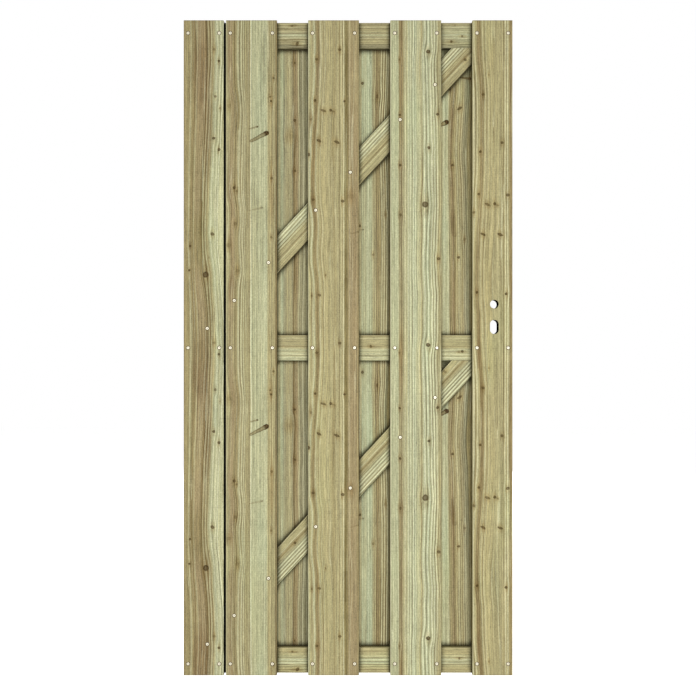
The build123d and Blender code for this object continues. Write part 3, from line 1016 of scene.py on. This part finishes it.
def makeScrewHead():
    head = addDisc(screw["sides"], screw["headRadius"], screw["headHeight"])
    head.name = "screwHead"
    bevel = head.modifiers.new("bevel", "BEVEL")
    bevel.width = screw["headRounding"]
    bevel.segments = screw["roundingSteps"]
    bpy.ops.object.modifier_apply(modifier="bevel")
    drive = addDisc(
        screw["driveSides"], screw["driveRadius"], 2 * screw["driveDepth"], -screw["headHeight"] / 2)
    for index, vertex in enumerate(drive.data.vertices):
        if (index // 2) % 2:
            vertex.co.x *= screw["driveNotch"]
            vertex.co.z *= screw["driveNotch"]
    clearSelection()
    head.select_set(True)
    bpy.context.view_layer.objects.active = head
    cut = head.modifiers.new("drive", "BOOLEAN")
    cut.object = drive
    cut.solver = "EXACT"
    bpy.ops.object.modifier_apply(modifier="drive")
    bpy.data.objects.remove(drive)
    head.data.materials.clear()
    head.data.materials.append(screwMaterial)
    # the timber's face lies this far behind the middle of the head
    face = screw["proud"] - screw["headHeight"] / 2
    # a dark disc under the head: partly crushed timber, partly the head's painted shadow
    rim = addDisc(screw["sides"], screw["rimRadius"], screw["rimDepth"],
                  face - screw["rimProud"] + screw["rimDepth"] / 2)
    rim.data.materials.append(rimMaterial)
    head.select_set(True)
    bpy.context.view_layer.objects.active = head
    bpy.ops.object.join()
    applyPlace()
    return head


def makeScrewMaterial():
    material, tree, shader = newMaterial("zinc screw")
    place = addNode(tree, "TexCoord").outputs["Object"]
    dull = noise(tree, place, 900.0, 3.0, 0.6, screw["lookSeed"])
    bright, worn = linear(255, 250, 224), linear(236, 227, 198)
    plug(tree, mixColour(tree, remap(tree, dull, 0.35, 0.7), bright, worn), shader["Base Color"])
    plug(tree, remap(tree, dull, 0.3, 0.7, 0.28, 0.5), shader["Roughness"])
    shader["Metallic"].default_value = 0.05
    bump = addNode(tree, "Bump", {"Height": dull, "Strength": 0.2, "Distance": 0.0001})
    plug(tree, bump.outputs["Normal"], shader["Normal"])
    return material


def makeRimMaterial():
    material, tree, shader = newMaterial("crushed timber and painted screw shadow")
    place = addNode(tree, "TexCoord").outputs["Object"]
    stain = noise(tree, place, 420.0, 3.0, 0.6, screw["rimSeed"])
    pale, dark = linear(104, 86, 56), linear(66, 52, 32)
    plug(tree, mixColour(tree, remap(tree, stain, 0.35, 0.65), pale, dark), shader["Base Color"])
    plug(tree, remap(tree, stain, 0.3, 0.7, 0.7, 0.9), shader["Roughness"])
    shader["Specular IOR Level"].default_value = wood["sheen"]
    return material


def placeScrews(head, name, places, front):
    copies = []
    sink = screw["proud"] - screw["headHeight"] / 2
    for across, up in places:
        copy = head.copy()
        copy.data = head.data.copy()
        bpy.context.scene.collection.objects.link(copy)
        if front:
            copy.location = (across, leafLow.y - sink, up)
        else:
            copy.rotation_euler = (0, 0, math.pi)
            copy.location = (across, leafHigh.y + sink, up)
        copies.append(copy)
    clearSelection()
    for copy in copies:
        copy.select_set(True)
    bpy.context.view_layer.objects.active = copies[0]
    bpy.ops.object.join()
    applyPlace()
    joined = bpy.context.object
    joined.name = name
    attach(joined, "root")


def rowPlaces(boards, inset):
    # two screws at each rail on every board
    places = []
    for name in boards:
        low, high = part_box(name)
        for across in (low.x + inset, high.x - inset):
            places += [(across, up) for up in railRows.values()]
    return places


screwMaterial = makeScrewMaterial()
rimMaterial = makeRimMaterial()
railRows = {}
for rail in ("bottom_rail", "middle_rail", "top_rail"):
    low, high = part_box(rail)
    railRows[rail] = (low.z + high.z) / 2
railRows["bottom_rail"] -= screw["bottomRowDrop"]

frontPlaces = rowPlaces(frontBoards, screw["inset"])
for name, rises in screw["braceRise"].items():
    low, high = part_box(name)
    angle = braceAngle(low, high)
    middle = railWidth / math.sin(angle) / 2
    for distance, rise in zip(screw["braceAcross"], rises):
        up = low.z + (distance * mm - middle) * math.tan(angle) + rise * mm
        frontPlaces.append((low.x + distance * mm, up))
rearPlaces = rowPlaces(rearBoards, 2 * screw["inset"])

head = makeScrewHead()
placeScrews(head, "front_screws", frontPlaces, True)
placeScrews(head, "rear_screws", rearPlaces, False)
bpy.data.objects.remove(head)
print("screws placed:", len(frontPlaces), "in front,", len(rearPlaces), "behind")


# Floor, light and camera

studio = {
    "floorDrop": 0.06,  # how far below the leaf the floor lies
    "floorSize": 14.0,
    "floorMiddle": 0.38,
    "floorGlow": 0.9,
    "worldStrength": 0.12,
    "boxStep": 0.35,
    "boxDistance": 4.0,
    "boxDrop": 0.1,  # low, but with its lower edge still above the floor
    "boxSize": (1.7, 1.6),
    "boxPower": 142.0,
    "sideDistance": 2.4,
    "sideSize": (0.25, 2.2),
    "topDistance": 2.6,
    "topSize": (1.6, 0.25),
    "stripPower": 26.0,
}


def makeFloor():
    clearSelection()
    bpy.ops.mesh.primitive_plane_add(
        size=studio["floorSize"], location=(studio["floorMiddle"], 0, leafLow.z - studio["floorDrop"]))
    floor = bpy.context.object
    floor.name = "floor"
    applyPlace()
    material, tree, shader = newMaterial("studio floor")
    shader["Base Color"].default_value = (0.45, 0.45, 0.44, 1)
    shader["Roughness"].default_value = 0.8
    shader["Specular IOR Level"].default_value = 0.1
    shader["Emission Color"].default_value = (1, 1, 1, 1)
    # the camera sees it nearly white, and it lights nothing
    seen = addNode(tree, "LightPath").outputs["Is Camera Ray"]
    plug(tree, times(tree, seen, studio["floorGlow"]), shader["Emission Strength"])
    floor.data.materials.append(material)


def makeWorld():
    world = bpy.data.worlds.new("studio")
    bpy.context.scene.world = world
    world.use_nodes = True
    tree = world.node_tree
    background = tree.nodes["Background"].inputs
    background["Color"].default_value = (1, 1, 1, 1)
    path = addNode(tree, "LightPath").outputs
    seen = calc(tree, "MAXIMUM", path["Is Camera Ray"], path["Is Glossy Ray"])
    seen = calc(tree, "MAXIMUM", seen, path["Is Transmission Ray"])
    plug(tree, remap(tree, seen, 0, 1, studio["worldStrength"], 1.0, smooth=False), background["Strength"])


def makeLamp(name, stand, size, power):
    lamp = bpy.data.lights.new(name, "AREA")
    lamp.shape = "RECTANGLE"
    lamp.size, lamp.size_y = size
    lamp.energy = power
    holder = bpy.data.objects.new(name, lamp)
    bpy.context.scene.collection.objects.link(holder)
    holder.location = leafMiddle + Vector(stand)
    aim = leafMiddle - (leafMiddle + Vector(stand))
    holder.rotation_euler = aim.to_track_quat("-Z", "Y").to_euler()


leafMiddle = (leafLow + leafHigh) / 2
makeFloor()
makeWorld()
for name, side in (("front softbox", -1), ("rear softbox", 1)):
    stand = (studio["boxStep"], side * studio["boxDistance"], -studio["boxDrop"])
    makeLamp(name, stand, studio["boxSize"], studio["boxPower"])
# narrow strips in the plane of the leaf light its outer edges and nothing between the boards
for name, side in (("left strip", -1), ("right strip", 1)):
    makeLamp(name, (side * studio["sideDistance"], 0, 0), studio["sideSize"], studio["stripPower"])
makeLamp("top strip", (0, 0, studio["topDistance"]), studio["topSize"], studio["stripPower"])

view = {
    "distance": 2.125,
    "lens": 40.0,
    "sensor": 36.0,
    "sideStep": -0.0003,
    "drop": -0.0005,
}
camera = bpy.data.objects.new("camera", bpy.data.cameras.new("camera"))
bpy.context.scene.collection.objects.link(camera)
camera.data.lens = view["lens"]
camera.data.sensor_width = view["sensor"]
camera.location = (
    leafMiddle.x + view["sideStep"], leafLow.y - view["distance"], leafMiddle.z + view["drop"])
camera.rotation_euler = (upright, 0, 0)
bpy.context.scene.camera = camera
bpy.context.scene.view_settings.view_transform = "Standard"
print("studio ready")
